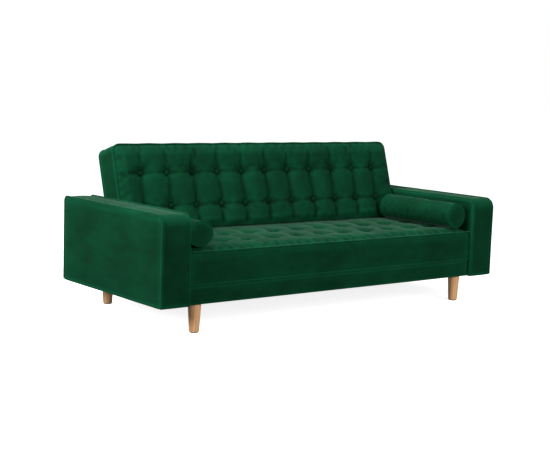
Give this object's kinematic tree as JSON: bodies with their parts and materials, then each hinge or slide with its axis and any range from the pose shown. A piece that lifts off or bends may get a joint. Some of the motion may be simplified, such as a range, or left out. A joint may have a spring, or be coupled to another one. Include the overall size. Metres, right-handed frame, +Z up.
{
  "type": "futon sofa bed",
  "caption": "Click-clack sofa bed: square track arms, button-tufted velvet seat and a back that reclines flat, on tapered wood legs, with loose bolster pillows",
  "frame": {"origin": "on the floor at the centre of the sofa's width and depth, with the back upright", "axes": "+X along the width towards the right arm as seen from the front, +Y towards the rear, -Y the front, +Z up"},
  "size_m": [2.1, 0.88, 0.8033],
  "materials": {
    "velvet": "deep green cut-pile upholstery velvet with a soft sheen",
    "button_velvet": "the same green velvet pulled tight over tufting buttons",
    "leg_wood": "light natural rubberwood, clear satin lacquer",
    "frame_wood": "planed unfinished pine",
    "board": "unfinished plywood board",
    "lining": "black non-woven dust cloth",
    "webbing": "woven elastic webbing",
    "spring_steel": "drawn spring wire",
    "hinge_steel": "pressed steel, black coated",
    "fastener": "zinc plated steel",
    "rubber": "black rubber",
    "glide": "dark nylon glide"
  },
  "bodies": {
    "base": {"left_arm_cover": "velvet", "right_arm_cover": "velvet", "base_front_cover": "velvet", "base_rear_cover": "velvet", "front_left_leg": "leg_wood", "front_right_leg": "leg_wood", "rear_left_leg": "leg_wood", "rear_right_leg": "leg_wood", "base_front_rail": "frame_wood", "base_rear_rail": "frame_wood", "base_left_rail": "frame_wood", "base_right_rail": "frame_wood", "base_joists": "frame_wood", "base_corner_blocks": "frame_wood", "left_arm_posts": "frame_wood", "right_arm_posts": "frame_wood", "left_arm_bottom_board": "board", "right_arm_bottom_board": "board", "left_arm_top_board": "board", "right_arm_top_board": "board", "dust_cover": "lining", "left_hinge_bracket": "hinge_steel", "right_hinge_bracket": "hinge_steel", "pivot_pins": "fastener", "pivot_nuts": "fastener", "bracket_screws": "fastener", "arm_bolts": "fastener", "leg_bolts": "fastener", "leg_plates": "fastener", "back_bumpers": "rubber", "seat_pads": "rubber", "leg_glides": "glide"},
    "seat": {"seat_cushion": "velvet", "seat_front_border": "velvet", "seat_side_borders": "velvet", "seat_buttons": "button_velvet", "seat_front_rail": "frame_wood", "seat_rear_rail": "frame_wood", "seat_left_rail": "frame_wood", "seat_right_rail": "frame_wood", "seat_cross_rails": "frame_wood", "seat_springs": "spring_steel", "left_seat_arm": "hinge_steel", "right_seat_arm": "hinge_steel", "ratchet_drums": "hinge_steel", "seat_arm_screws": "fastener"},
    "back": {"back_cushion": "velvet", "back_buttons": "button_velvet", "back_rear_panel": "velvet", "back_bottom_rail": "frame_wood", "back_top_rail": "frame_wood", "back_left_stile": "frame_wood", "back_right_stile": "frame_wood", "back_mid_stiles": "frame_wood", "back_webbing": "webbing", "left_back_arm": "hinge_steel", "right_back_arm": "hinge_steel", "back_arm_screws": "fastener"},
    "left_roll": {"left_bolster": "velvet"},
    "right_roll": {"right_bolster": "velvet"}
  },
  "joints": [
    {"name": "seat_lift", "type": "hinge", "parent": "base", "child": "seat", "pos_m": [0, 0.153, 0.348], "axis": [-1, 0, 0], "range_deg": [0, 12]},
    {"name": "back_recline", "type": "hinge", "parent": "base", "child": "back", "pos_m": [0, 0.153, 0.348], "axis": [-1, 0, 0], "range_deg": [0, 73]},
    {"name": "left_bolster_lift", "type": "slide", "parent": "seat", "child": "left_roll", "axis": [0, 0, 1], "range_m": [0, 0.2]},
    {"name": "right_bolster_lift", "type": "slide", "parent": "seat", "child": "right_roll", "axis": [0, 0, 1], "range_m": [0, 0.2]}
  ]
}
